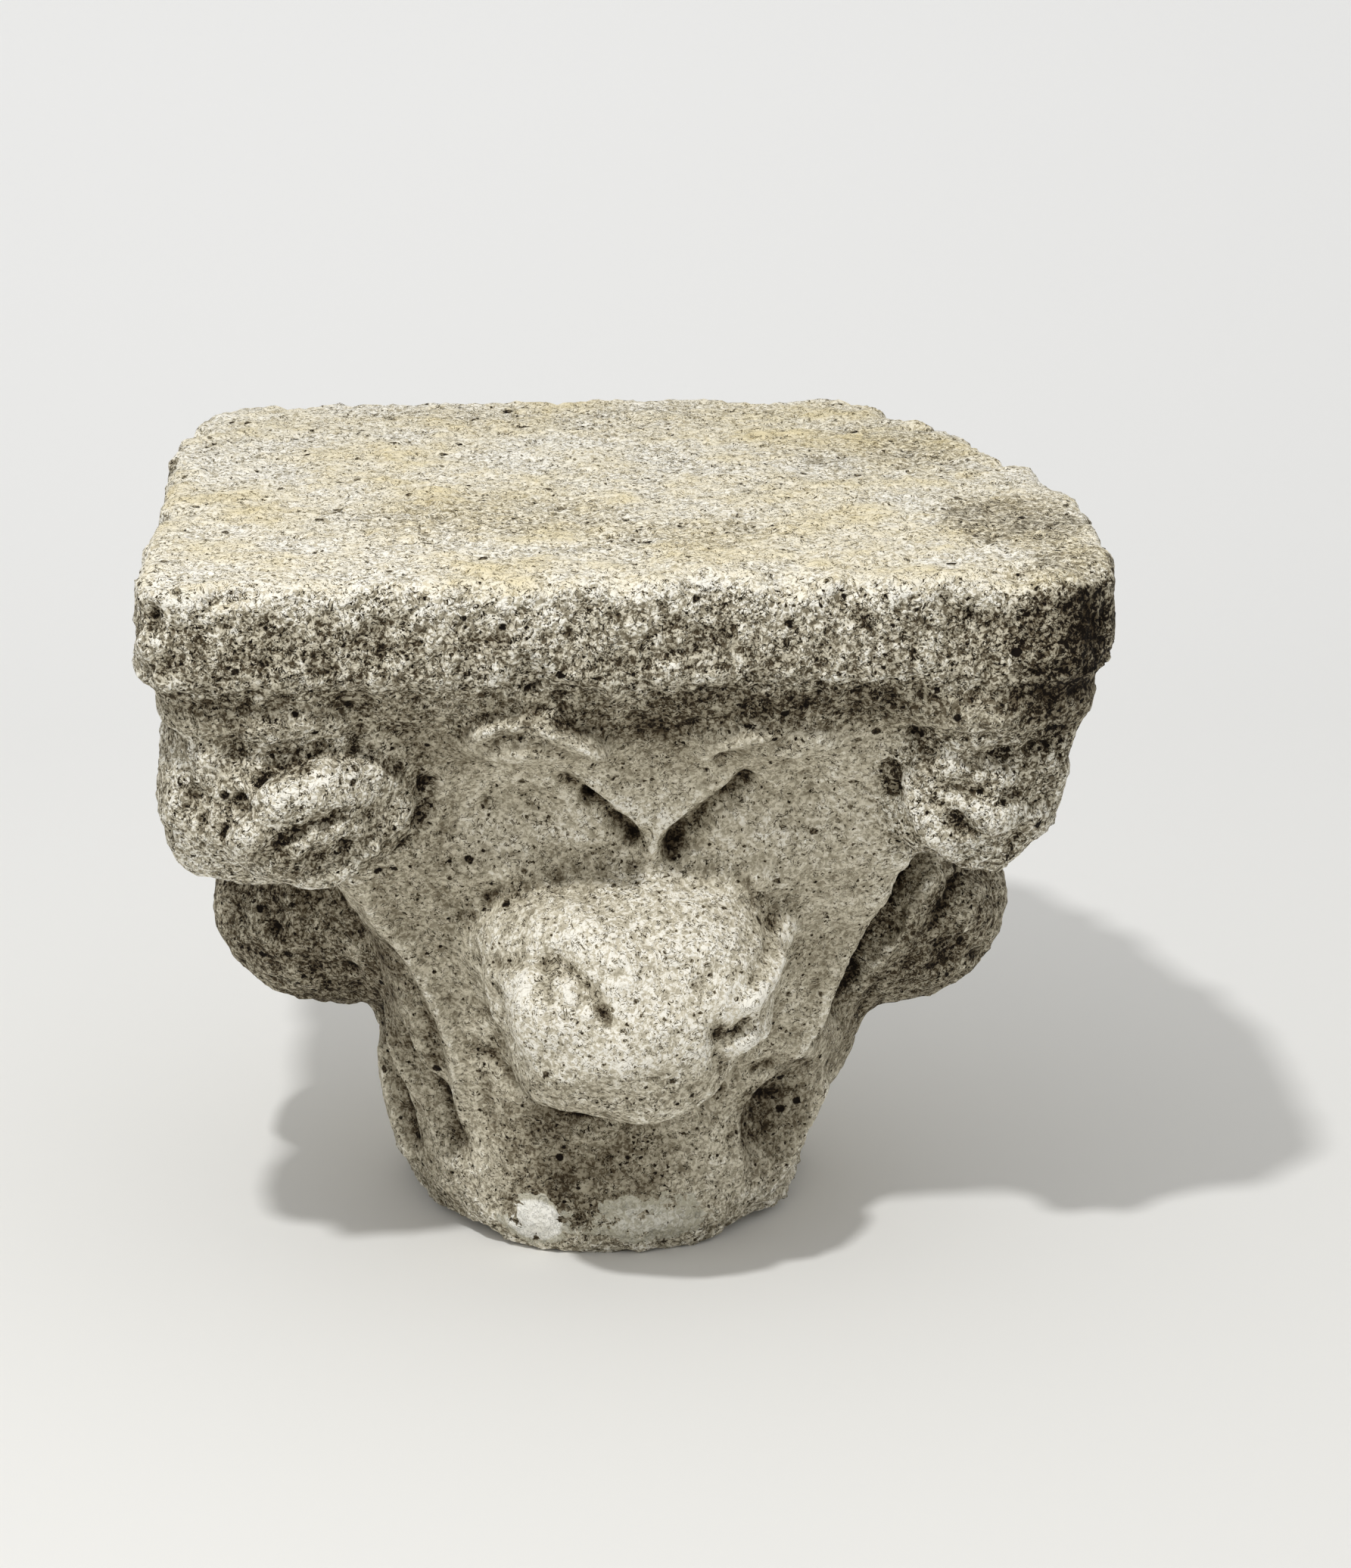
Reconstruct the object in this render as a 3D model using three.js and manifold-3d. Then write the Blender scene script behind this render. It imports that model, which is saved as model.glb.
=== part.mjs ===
// A weathered stone capital for a small column, carved from one block of limestone.
// A square abacus stands on a bell that is round below and nearly square above. A curled leaf tip stands out
// from the middle of each side, two leaf lips turn out above it, a scroll hangs under each corner of the
// abacus, and grooves divide the leaves.
// Millimetres, +Z up, the front faces -Y. The origin is the middle of the lower bed, the face that rests
// on the shaft.
import * as THREE from "three";
import { mergeVertices } from "three/addons/utils/BufferGeometryUtils.js";
import Module from "manifold-3d";

const HEIGHT = 300;
const ABACUS_WIDTH = 366;
const ABACUS_DEPTH = 336;
const ABACUS_ASIDE = 4;
const ABACUS_HEIGHT = 42;
const BED_RADIUS = 90;

const ABACUS_UNDERSIDE = HEIGHT - ABACUS_HEIGHT;
const WORN_EDGE = 5;
const QUARTER = Math.PI / 2;

const wasm = await Module();
wasm.setup();

// ---- Small helpers ----

// A closed geometry as a solid that can be joined and cut.
function solid(geometry) {
  const bare = geometry.clone();
  bare.deleteAttribute("normal");
  bare.deleteAttribute("uv");
  const merged = mergeVertices(bare, 1e-3);
  return new wasm.Manifold(
    new wasm.Mesh({
      numProp: 3,
      vertProperties: new Float32Array(merged.attributes.position.array),
      triVerts: new Uint32Array(merged.index.array),
    }),
  );
}

// A solid as a geometry for a mesh.
function geometryOf(made) {
  const mesh = made.getMesh();
  const geometry = new THREE.BufferGeometry();
  geometry.setAttribute("position", new THREE.BufferAttribute(mesh.vertProperties, 3));
  geometry.setIndex(new THREE.BufferAttribute(mesh.triVerts, 1));
  geometry.computeVertexNormals();
  return geometry;
}

// ---- The abacus ----

// Its outline from above, starting at the front left corner: a little narrower at the back, the front right
// corner worn round, and the back right corner broken off along a ragged line.
function abacusOutline() {
  const left = ABACUS_ASIDE - ABACUS_WIDTH / 2;
  const right = ABACUS_ASIDE + ABACUS_WIDTH / 2;
  const front = -ABACUS_DEPTH / 2;
  const back = ABACUS_DEPTH / 2;
  const outline = new THREE.Shape();
  outline.moveTo(left, front + 14);
  outline.quadraticCurveTo(left, front, left + 14, front);
  outline.lineTo(right - 34, front);
  outline.quadraticCurveTo(right, front, right, front + 34);
  outline.lineTo(right, -26);
  outline.lineTo(right - 8, 18);
  outline.lineTo(right - 23, 46);
  outline.lineTo(right - 28, 80);
  outline.lineTo(right - 43, 114);
  outline.lineTo(right - 62, 152);
  outline.quadraticCurveTo(right - 70, back, right - 94, back);
  outline.lineTo(left + 26, back);
  outline.quadraticCurveTo(left + 15, back, left + 11, back - 20);
  outline.lineTo(left + 4, 98);
  outline.lineTo(left, 62);
  outline.lineTo(left + 3, 8);
  return outline;
}

// A slab between two heights with worn edges, its outline the abacus's made smaller to a share of its size.
function slab(bottom, top, share, wear) {
  const geometry = new THREE.ExtrudeGeometry(abacusOutline(), {
    depth: top - bottom - 2 * wear,
    bevelThickness: wear,
    bevelSize: wear,
    bevelOffset: -wear,
    bevelSegments: 2,
    curveSegments: 4,
  });
  geometry.scale(share, share, 1);
  geometry.translate(0, 0, bottom + wear);
  return solid(geometry);
}

// The abacus and, drawn in below it, the thin moulding that the leaves and scrolls run up to.
const MOULDING_HEIGHT = 14;
const MOULDING_SHARE = 0.935;

function abacus() {
  const mouldingFoot = ABACUS_UNDERSIDE - MOULDING_HEIGHT;
  const moulding = slab(mouldingFoot, ABACUS_UNDERSIDE + WORN_EDGE, MOULDING_SHARE, WORN_EDGE);
  return slab(ABACUS_UNDERSIDE, HEIGHT, 1, WORN_EDGE).add(moulding);
}

// ---- The carved body below the abacus ----

// The body is described by how far a point lies outside it: the bell, with the leaf tips melted into it and
// the hollows taken out.

// Upright sections of the bell, each a list of [height, breadth]: through the middle of a side, and through
// a corner, whose edge stands out more and more towards the scroll.
const faceSection = [
  [-60, 76], [0, 86], [8, 91], [24, 93], [60, 96], [90, 97], [120, 101], [150, 108], [180, 118], [205, 128],
  [230, 141], [250, 152], [300, 165],
];
const cornerSection = [
  [-60, 76], [0, 86], [8, 91], [24, 93], [55, 97], [72, 106], [90, 112], [112, 120], [135, 131], [156, 147],
  [180, 168], [205, 186], [230, 198], [250, 204], [300, 214],
];

// A section's breadth at a height, eased from one point of the section to the next.
function breadthAt(section, height) {
  const next = Math.max(1, section.findIndex((point) => point[0] >= height));
  const [[low, from], [high, to]] = section.slice(next - 1, next + 1);
  const before = section[Math.max(0, next - 2)];
  const after = section[Math.min(section.length - 1, next + 1)];
  const share = (height - low) / (high - low);
  const leaving = ((to - before[1]) / (high - before[0])) * (high - low);
  const arriving = ((after[1] - from) / (after[0] - low)) * (high - low);
  const bend = share * (1 - share);
  return from + (to - from) * share * share * (3 - 2 * share)
    + leaving * bend * (1 - share) - arriving * bend * share;
}

function outsideBell(point) {
  const angle = Math.atan2(point.y, point.x);
  const fromFace = Math.abs(angle - Math.round(angle / QUARTER) * QUARTER) / (QUARTER / 2);
  const face = breadthAt(faceSection, point.z);
  const corner = breadthAt(cornerSection, point.z);
  return 0.85 * (Math.hypot(point.x, point.y) - face - (corner - face) * fromFace ** 2.2);
}

// How far a point lies outside a ball of half sizes size.
function outsideBall(point, centre, size) {
  const local = point.clone().sub(centre);
  const near = local.clone().divide(size);
  const reach = near.length();
  return (reach * (reach - 1)) / Math.max(near.divide(size).length(), 1e-6);
}

// Leaf tips: curled over, broad above and narrow below. outward is the direction that each one faces.
const TIP_TAPER = 0.2;

function outsideTip(point, { aside, out, height, size, outward }) {
  const local = point.clone().applyAxisAngle(new THREE.Vector3(0, 0, 1), -QUARTER - outward);
  const rise = (local.z - height) / size[2];
  const width = 1 + TIP_TAPER * THREE.MathUtils.clamp(rise, -1, 1);
  local.x = aside + (local.x - aside) / width;
  return outsideBall(local, new THREE.Vector3(aside, -out, height), new THREE.Vector3(...size));
}

const leafTips = [
  { aside: 6, out: 113, height: 122, size: [58, 53, 49], outward: -QUARTER },
  { aside: 0, out: 114, height: 122, size: [50, 54, 45], outward: 0 },
  { aside: 4, out: 108, height: 124, size: [49, 48, 44], outward: QUARTER },
  { aside: 0, out: 113, height: 126, size: [50, 50, 44], outward: 2 * QUARTER },
];

// The stem under the right leaf tip stands out more than the others.
const rightStem = { centre: new THREE.Vector3(82, -6, 72), size: new THREE.Vector3(24, 36, 26) };

// Hollows: the dished faces of the leaves either side of the tongue, and the pockets at the foot.
const hollows = [
  { centre: [-44, -166, 196], size: [48, 46, 34] },
  { centre: [70, -166, 196], size: [46, 46, 34] },
  { centre: [-46, 166, 196], size: [40, 44, 34] },
  { centre: [54, 166, 196], size: [40, 44, 34] },
  { centre: [72, -68, 48], size: [17, 13, 24] },
  { centre: [-66, -86, 50], size: [8, 16, 26] },
  { centre: [-85, -64, 50], size: [10, 12, 26] },
];

// The back right corner is broken off along an upright face: its direction, and how far out it stands.
const breakDirection = new THREE.Vector3(0.94, 0.34, 0).normalize();
const BREAK_OUT = 164;

// Joins two outside distances into one, melting them together where both are near.
function melt(one, other, softness) {
  const near = Math.max(softness - Math.abs(one - other), 0) / softness;
  return Math.min(one, other) - (near * near * softness) / 4;
}

const TIP_SOFTNESS = 13;
const HOLLOW_SOFTNESS = 10;
const BODY_TOP = ABACUS_UNDERSIDE + 16;

function outsideBody(point) {
  let outside = outsideBell(point);
  for (const tip of leafTips) {
    outside = melt(outside, outsideTip(point, tip), TIP_SOFTNESS);
  }
  outside = melt(outside, outsideBall(point, rightStem.centre, rightStem.size), TIP_SOFTNESS);
  for (const { centre, size } of hollows) {
    const ball = outsideBall(point, new THREE.Vector3(...centre), new THREE.Vector3(...size));
    outside = -melt(-outside, ball, HOLLOW_SOFTNESS);
  }
  return Math.max(outside, point.z - BODY_TOP, point.dot(breakDirection) - BREAK_OUT);
}

// Seen from a point on the axis, every ray meets the body's face once. The face is a turned grid of such
// rays, each vertex slid in along its ray from outside until it meets the body.
const BODY_SEGMENTS = 82;
const BODY_ROWS = 34;
const LOWEST_RAY = THREE.MathUtils.degToRad(-61);
const HIGHEST_RAY = THREE.MathUtils.degToRad(43);
const rayStart = new THREE.Vector3(0, 0, 130);
const FARTHEST = 320;
const MARCH_STEP = 3;

function meetBody(direction) {
  const at = (reach) => rayStart.clone().addScaledVector(direction, reach);
  let far = FARTHEST;
  while (far > MARCH_STEP && outsideBody(at(far - MARCH_STEP)) > 0) {
    far -= MARCH_STEP;
  }
  let near = far - MARCH_STEP;
  for (let halving = 0; halving < 8; halving += 1) {
    const middle = (near + far) / 2;
    if (outsideBody(at(middle)) > 0) {
      far = middle;
    } else {
      near = middle;
    }
  }
  return at(far);
}

function body() {
  const rim = [new THREE.Vector2(0, -1)];
  for (let row = 0; row <= BODY_ROWS; row += 1) {
    const rise = LOWEST_RAY + ((HIGHEST_RAY - LOWEST_RAY) * row) / BODY_ROWS;
    rim.push(new THREE.Vector2(Math.cos(rise), Math.sin(rise)));
  }
  rim.push(new THREE.Vector2(0, 1));
  const rays = new THREE.LatheGeometry(rim, BODY_SEGMENTS).rotateX(QUARTER);
  const position = rays.attributes.position;
  const direction = new THREE.Vector3();
  for (let i = 0; i < position.count; i += 1) {
    direction.fromBufferAttribute(position, i).normalize();
    const met = meetBody(direction);
    position.setXYZ(i, met.x, met.y, met.z);
  }
  const belowBed = new THREE.BoxGeometry(2 * ABACUS_WIDTH, 2 * ABACUS_WIDTH, ABACUS_WIDTH);
  belowBed.translate(0, 0, -ABACUS_WIDTH / 2);
  return solid(rays).subtract(solid(belowBed));
}

// ---- The scrolls under the abacus's corners ----

// A scroll is a squarish ball with its eye at the pole. A ridge winds out from the eye, as strong as its
// relief says.
const SQUARENESS = 0.84;
const SPIRAL_TURNS = 1.7;
const COILED_PART = 0.5;

function scroll({ centre, size, facing, hand, relief, around, rows }) {
  const ball = new THREE.SphereGeometry(1, around, rows);
  const eye = new THREE.Quaternion();
  eye.setFromUnitVectors(new THREE.Vector3(0, 1, 0), new THREE.Vector3(...facing).normalize());
  const squarer = (part) => Math.sign(part) * Math.abs(part) ** SQUARENESS;
  const position = ball.attributes.position;
  const point = new THREE.Vector3();
  for (let i = 0; i < position.count; i += 1) {
    point.fromBufferAttribute(position, i);
    const turn = (hand * Math.atan2(point.x, point.z)) / (2 * Math.PI);
    const fromEye = Math.acos(THREE.MathUtils.clamp(point.y, -1, 1)) / Math.PI / COILED_PART;
    const outerFade = THREE.MathUtils.smoothstep(1 - fromEye, 0, 0.3);
    const coiled = outerFade * THREE.MathUtils.smoothstep(fromEye, 0, 0.2);
    const winding = 2 * Math.PI * (SPIRAL_TURNS * fromEye - turn);
    point.multiplyScalar(1 + relief * coiled * Math.cos(winding));
    point.applyQuaternion(eye);
    point.set(squarer(point.x) * size[0], squarer(point.y) * size[1], squarer(point.z) * size[2]);
    position.setXYZ(i, point.x + centre[0], point.y + centre[1], point.z + centre[2]);
  }
  return solid(ball);
}

const scrolls = [
  {
    centre: [-126, -113, 211], size: [50, 45, 40],
    facing: [0.3, -1, -0.15], hand: 1, relief: 0.09, around: 24, rows: 18,
  },
  {
    centre: [136, -112, 218], size: [37, 42, 43],
    facing: [-0.3, -1, -0.1], hand: -1, relief: 0.03, around: 20, rows: 14,
  },
  {
    centre: [-124, 114, 212], size: [46, 46, 38],
    facing: [0.3, 1, -0.15], hand: -1, relief: 0.06, around: 24, rows: 18,
  },
  {
    centre: [106, 98, 211], size: [38, 38, 36],
    facing: [-0.3, 1, -0.1], hand: 1, relief: 0.03, around: 20, rows: 14,
  },
];

// ---- The lips of the leaves ----

// A lip is the thin upper edge of a leaf, turned out under the abacus: a flat ball set into the bell.
// outward is the direction that it faces, as for the leaf tips.
const LIP_SIZE = new THREE.Vector3(36, 22, 10);
const LIP_HEIGHT = 233;

function lip({ aside, out, outward }) {
  const ball = new THREE.SphereGeometry(1, 12, 6);
  ball.rotateX(QUARTER).scale(LIP_SIZE.x, LIP_SIZE.y, LIP_SIZE.z);
  ball.translate(aside, -out, LIP_HEIGHT).rotateZ(outward + QUARTER);
  return solid(ball);
}

const lips = [
  { aside: -32, out: 138, outward: -QUARTER },
  { aside: 56, out: 136, outward: -QUARTER },
  { aside: -40, out: 138, outward: 0 },
  { aside: 40, out: 138, outward: 0 },
  { aside: -44, out: 136, outward: QUARTER },
  { aside: 42, out: 136, outward: QUARTER },
  { aside: -42, out: 138, outward: 2 * QUARTER },
  { aside: 42, out: 138, outward: 2 * QUARTER },
];

// ---- The carved grooves ----

// A groove is a round-nosed cut along a path whose points lie on the stone's face.
function groove({ points, width }) {
  const path = new THREE.CatmullRomCurve3(points.map((point) => new THREE.Vector3(...point)));
  const section = new THREE.Shape();
  section.absarc(0, 0, width / 2, 0, 2 * Math.PI);
  const steps = 5 * (points.length - 1);
  return solid(new THREE.ExtrudeGeometry(section, { steps, extrudePath: path, curveSegments: 4 }));
}

const grooves = [
  // over the coil at the left of the front leaf tip
  { points: [[-38, -150, 158], [-24, -158, 153], [-14, -164, 143], [-8, -167, 130]], width: 8 },
  // either side of the tongue above the front leaf tip
  { points: [[-18, -133, 214], [-4, -129, 202], [10, -124, 190]], width: 9 },
  { points: [[53, -133, 216], [36, -129, 203], [19, -124, 188]], width: 9 },
];

// ---- The one stone ----

function capital() {
  let stone = body().add(abacus());
  for (const shape of scrolls) {
    stone = stone.add(scroll(shape));
  }
  for (const shape of lips) {
    stone = stone.add(lip(shape));
  }
  for (const shape of grooves) {
    stone = stone.subtract(groove(shape));
  }
  const limestone = new THREE.MeshStandardMaterial({ color: 0xb9b2a0, roughness: 0.95, metalness: 0 });
  const mesh = new THREE.Mesh(geometryOf(stone), limestone);
  mesh.name = "capital";
  return mesh;
}

const object = new THREE.Group();
object.add(capital());

export default object;
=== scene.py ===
"""A weathered limestone capital standing on a pale studio floor."""
import math
import bmesh
import bpy
import numpy as np
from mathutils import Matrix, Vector


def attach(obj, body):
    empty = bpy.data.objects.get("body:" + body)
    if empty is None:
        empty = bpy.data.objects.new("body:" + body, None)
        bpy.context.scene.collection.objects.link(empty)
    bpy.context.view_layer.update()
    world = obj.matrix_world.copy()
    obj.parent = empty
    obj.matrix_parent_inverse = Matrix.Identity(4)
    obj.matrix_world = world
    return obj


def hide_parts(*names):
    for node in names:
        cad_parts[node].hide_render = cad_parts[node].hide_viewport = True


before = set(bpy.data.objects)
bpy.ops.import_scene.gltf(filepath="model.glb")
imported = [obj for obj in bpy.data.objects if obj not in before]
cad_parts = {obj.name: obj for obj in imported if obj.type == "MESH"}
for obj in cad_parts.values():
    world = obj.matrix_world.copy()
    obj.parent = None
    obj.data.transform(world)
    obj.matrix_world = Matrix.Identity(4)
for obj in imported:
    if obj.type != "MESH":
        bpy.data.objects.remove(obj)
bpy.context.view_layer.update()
scene = bpy.context.scene
scene.view_settings.view_transform = "Standard"

# ---- Camera ----
# A long lens a little over a metre and a half away, looking slightly down on the stone from its front.
camera_data = bpy.data.cameras.new("camera")
camera_data.sensor_width = 36.0
camera_data.lens = 96.6
camera_data.clip_end = 50.0
camera = bpy.data.objects.new("camera", camera_data)
camera.location = (-0.064, -1.662, 0.670)
LOOK_DOWN = 16.65
LOOK_RIGHT = 3.2
camera.rotation_euler = (math.radians(90 - LOOK_DOWN), 0.0, -math.radians(LOOK_RIGHT))
scene.collection.objects.link(camera)
scene.camera = camera

# ---- The carved form ----
# One block of limestone, roughed out, carved with leaves and scrolls, then worn and broken by weather.
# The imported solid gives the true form. It is remeshed finely, its facets are smoothed away, and then the
# smaller carving is worked into it stroke by stroke, in millimetres, as a carver would.
MM = 0.001
ROUGHING_VOXEL = 2.9
FINE_VOXEL = 2.58
FACET_SMOOTHING = 16
STROKE_SMOOTHING = 2
MELTING = 26
MELTED_SHARE = 0.85


def new_object(name, mesh):
    made = bpy.data.objects.new(name, mesh)
    scene.collection.objects.link(made)
    return made


def applied(thing):
    """Turns an object's live modifiers into its plain mesh."""
    thing.update_tag()
    graph = bpy.context.evaluated_depsgraph_get()
    mesh = bpy.data.meshes.new_from_object(thing.evaluated_get(graph), depsgraph=graph)
    old = thing.data
    thing.modifiers.clear()
    thing.data = mesh
    bpy.data.meshes.remove(old)


def remesh(thing, voxel):
    modifier = thing.modifiers.new("even mesh", "REMESH")
    modifier.mode = "VOXEL"
    modifier.voxel_size = voxel * MM
    applied(thing)


def places(mesh):
    """The vertices' places, in millimetres."""
    flat = np.empty(3 * len(mesh.vertices))
    mesh.vertices.foreach_get("co", flat)
    return flat.reshape(-1, 3) / MM


def put_places(mesh, points):
    mesh.vertices.foreach_set("co", (points * MM).ravel())
    mesh.update()


def normals(mesh):
    flat = np.empty(3 * len(mesh.vertices))
    mesh.vertex_normals.foreach_get("vector", flat)
    return flat.reshape(-1, 3)


def edges(mesh):
    flat = np.empty(2 * len(mesh.edges), dtype=np.int64)
    mesh.edges.foreach_get("vertices", flat)
    return flat.reshape(-1, 2)


def spread(values, pairs, rounds, pull=0.5):
    """Blends each vertex's values with its neighbours', round after round."""
    count = len(values)
    both = np.concatenate([pairs[:, 0], pairs[:, 1]])
    other = np.concatenate([pairs[:, 1], pairs[:, 0]])
    ways = np.maximum(np.bincount(both, minlength=count), 1)
    values = values.reshape(count, -1).astype(float)
    for _ in range(rounds):
        near = [np.bincount(both, weights=column[other], minlength=count) / ways for column in values.T]
        values = values + pull * (np.stack(near, axis=1) - values)
    return values


def smooth_without_shrinking(mesh, rounds):
    points, pairs = places(mesh), edges(mesh)
    for _ in range(rounds):
        points = spread(points, pairs, 1, 0.55)
        points = spread(points, pairs, 1, -0.58)
    put_places(mesh, points)


def ease(value, start, end):
    """A share from 0 to 1 that eases in and out as value goes from start to end."""
    share = np.clip((value - start) / (end - start), 0.0, 1.0)
    return share * share * (3.0 - 2.0 * share)


block = new_object("weathered_capital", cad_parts["capital"].data.copy())
joined = bmesh.new()
joined.from_mesh(block.data)
bmesh.ops.remove_doubles(joined, verts=joined.verts, dist=0.01 * MM)
joined.to_mesh(block.data)
joined.free()
block.data.materials.clear()
remesh(block, ROUGHING_VOXEL)
smooth_without_shrinking(block.data, FACET_SMOOTHING)
# The leaves' lips and the moulding are worn until they run into one another.
rough_form = places(block.data)
melted = spread(rough_form, edges(block.data), MELTING, 0.6)
softened = ease(rough_form[:, 2], 218, 232) * (1.0 - ease(rough_form[:, 2], 255, 263))
put_places(block.data, rough_form + MELTED_SHARE * softened[:, None] * (melted - rough_form))

# Which two axes a face is drawn on, and which way it looks.
FACES = {
    "front": ((0, 2), (0, -1, 0)),
    "back": ((0, 2), (0, 1, 0)),
    "left": ((1, 2), (-1, 0, 0)),
    "right": ((1, 2), (1, 0, 0)),
    "top": ((0, 1), (0, 0, 1)),
}


def curve_through(stops, steps=6):
    """A smooth path through a stroke's stops."""
    stops = np.array(stops, dtype=float)
    if len(stops) == 2:
        return stops
    ends = np.vstack([2 * stops[0] - stops[1], stops, 2 * stops[-1] - stops[-2]])
    path = []
    for before, start, end, after in zip(ends, ends[1:], ends[2:], ends[3:]):
        for share in np.arange(steps) / steps:
            path.append(0.5 * (2 * start + (end - before) * share
                               + (2 * before - 5 * start + 4 * end - after) * share ** 2
                               + (3 * start - before - 3 * end + after) * share ** 3))
    return np.array(path + [stops[-1]])


def from_path(flat, path):
    """Each point's distance to a path, and how far along it the nearest place is."""
    best = np.full(len(flat), 1e9)
    along = np.zeros(len(flat))
    for number, (start, end) in enumerate(zip(path, path[1:])):
        run = end - start
        share = np.clip((flat - start) @ run / (run @ run), 0.0, 1.0)
        off = flat - start - share[:, None] * run
        distance = np.hypot(off[:, 0], off[:, 1])
        nearer = distance < best
        best[nearer] = distance[nearer]
        along[nearer] = (number + share[nearer]) / (len(path) - 1)
    return best, along


def stroke_reach(points, facing, face, stops, reach):
    """The points that a stroke touches, their distance from it, and how it fades at its ends."""
    axes, look = FACES[face]
    flat = points[:, axes]
    path = curve_through(stops)
    near = ((flat > path.min(0) - reach) & (flat < path.max(0) + reach)).all(1)
    near &= facing @ np.array(look) > 0.02
    near = np.flatnonzero(near)
    distance, along = from_path(flat[near], path)
    fade = ease(facing[near] @ np.array(look), 0.02, 0.35)
    fade = fade * ease(along, -0.01, 0.15) * (1.0 - ease(along, 0.85, 1.01))
    return near, distance, fade


class Carving:
    """Adds up how far each stroke raises or sinks the stone's face."""

    def __init__(self, mesh):
        self.points = places(mesh)
        self.facing = normals(mesh)
        self.raised = np.zeros(len(self.points))

    def ridge(self, face, stops, width, height):
        near, distance, fade = stroke_reach(self.points, self.facing, face, stops, 3 * width)
        self.raised[near] += height * fade * np.exp(-((distance / width) ** 2))

    def lump(self, centre, size, height):
        """A rise, or a hollow where its height is negative."""
        reach = np.linalg.norm((self.points - np.array(centre)) / np.array(size), axis=1)
        self.raised += height * (1.0 - ease(reach, 0.0, 1.0))

    def work_in(self, mesh):
        put_places(mesh, self.points + self.facing * self.raised[:, None])


# Long strokes: the face they are drawn on, their width and height (below nothing for a cut), and their stops.
SCROLL_LEFT = [
    ("front", 1.8, -9.0, [(-149, 190), (-148, 204), (-143, 215), (-135, 222), (-124, 227), (-112, 229)]),
    ("front", 1.6, -3.5, [(-118, 229), (-100, 230), (-88, 225), (-80, 216)]),
    ("front", 9.0, 5.5, [(-144, 188), (-140, 203), (-129, 214), (-113, 220), (-98, 219), (-88, 213)]),
    ("front", 2.4, 2.5, [(-144, 206), (-134, 219), (-118, 226), (-100, 227), (-88, 221), (-82, 212)]),
    ("front", 2.6, -3.5, [(-136, 188), (-129, 198), (-118, 206), (-106, 208), (-94, 204)]),
    ("front", 3.5, 3.0, [(-126, 194), (-116, 201), (-104, 203), (-96, 198)]),
    ("front", 2.0, -3.5, [(-108, 196), (-100, 199)]),
    ("front", 1.8, -3.0, [(-92, 212), (-86, 204), (-88, 198)]),
    ("front", 2.4, -4.5, [(-78, 220), (-73, 211), (-75, 200), (-86, 190), (-98, 180), (-112, 172)]),
    ("front", 3.0, 2.5, [(-124, 180), (-110, 180), (-96, 187)]),
    ("front", 2.0, -3.0, [(-168, 251), (-140, 252), (-110, 251), (-84, 248)]),
]
SCROLL_RIGHT = [
    ("front", 3.0, -5.0, [(104, 226), (104, 210), (110, 196), (121, 183), (135, 173), (150, 171)]),
    ("front", 7.0, 5.0, [(110, 214), (115, 199), (127, 186), (142, 179), (155, 185)]),
    ("front", 2.4, -4.5, [(118, 216), (122, 205), (130, 197), (140, 193)]),
    ("front", 3.5, 3.0, [(126, 214), (136, 203), (148, 200)]),
    ("front", 2.4, -4.0, [(132, 214), (142, 209), (154, 212)]),
]
LEAVES = [
    ("front", 2.4, 9.0, [(-58, 234), (-48, 241), (-35, 243), (-22, 237), (-12, 232), (-2, 229)]),
    ("front", 3.2, -2.0, [(-56, 229), (-40, 236), (-26, 233), (-12, 227), (0, 223)]),
    ("front", 2.6, 3.0, [(28, 222), (36, 229), (50, 235), (66, 236), (84, 233)]),
    ("front", 3.2, -3.0, [(34, 222), (48, 229), (66, 230)]),
    ("front", 2.4, -5.0, [(-24, 216), (-16, 210), (-8, 203)]),
    ("front", 3.6, -9.0, [(-14, 208), (-8, 203), (-2, 197), (4, 190), (8, 183)]),
    ("front", 6.0, -9.0, [(54, 215), (45, 206), (35, 198), (24, 188), (19, 176)]),
    ("front", 4.0, 4.0, [(-14, 216), (-4, 206), (4, 198), (12, 190), (14, 172)]),
    ("front", 4.0, 4.0, [(48, 218), (36, 207), (26, 199), (16, 190), (14, 176)]),
]
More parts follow.
